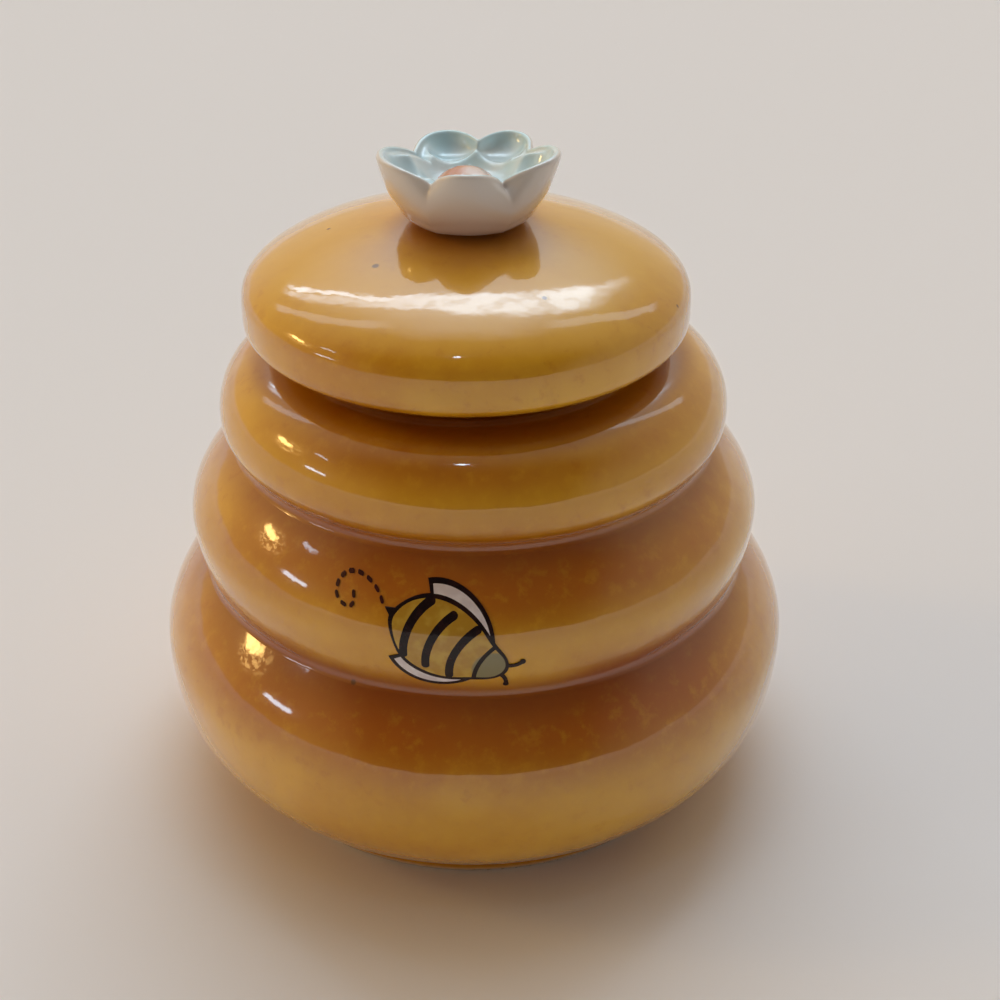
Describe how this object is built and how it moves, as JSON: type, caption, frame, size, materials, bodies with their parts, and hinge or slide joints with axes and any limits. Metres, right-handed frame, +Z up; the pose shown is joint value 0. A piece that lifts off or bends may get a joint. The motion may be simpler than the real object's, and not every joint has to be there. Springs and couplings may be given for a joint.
{
  "type": "honey pot with lift-off lid",
  "caption": "Small beehive-shaped glazed honey pot of stacked rounded rings, with a loose lift-off lid, a white flower knob and a bee printed on the front.",
  "frame": {"origin": "middle of the foot, on the surface the pot stands on", "axes": "+Z up, along the axis of the pot; the printed bee faces -Y; +X is to the right of someone who looks at the bee"},
  "size_m": [0.08, 0.08, 0.08],
  "materials": {
    "honey_glaze": "gloss",
    "white_glaze": "gloss",
    "peach_glaze": "gloss",
    "yellow_print": "gloss",
    "white_print": "gloss",
    "black_print": "gloss"
  },
  "bodies": {
    "pot": {"pot_body": "honey_glaze", "bee_body": "yellow_print", "bee_wings": "white_print", "bee_ink": "black_print", "bee_trail": "black_print"},
    "lid": {"lid": "honey_glaze", "flower_knob": "white_glaze", "flower_centre": "peach_glaze"}
  },
  "joints": [
    {"name": "lid_lift", "type": "slide", "parent": "pot", "child": "lid", "axis": [0, 0, 1], "range_m": [0, 0.035]}
  ]
}
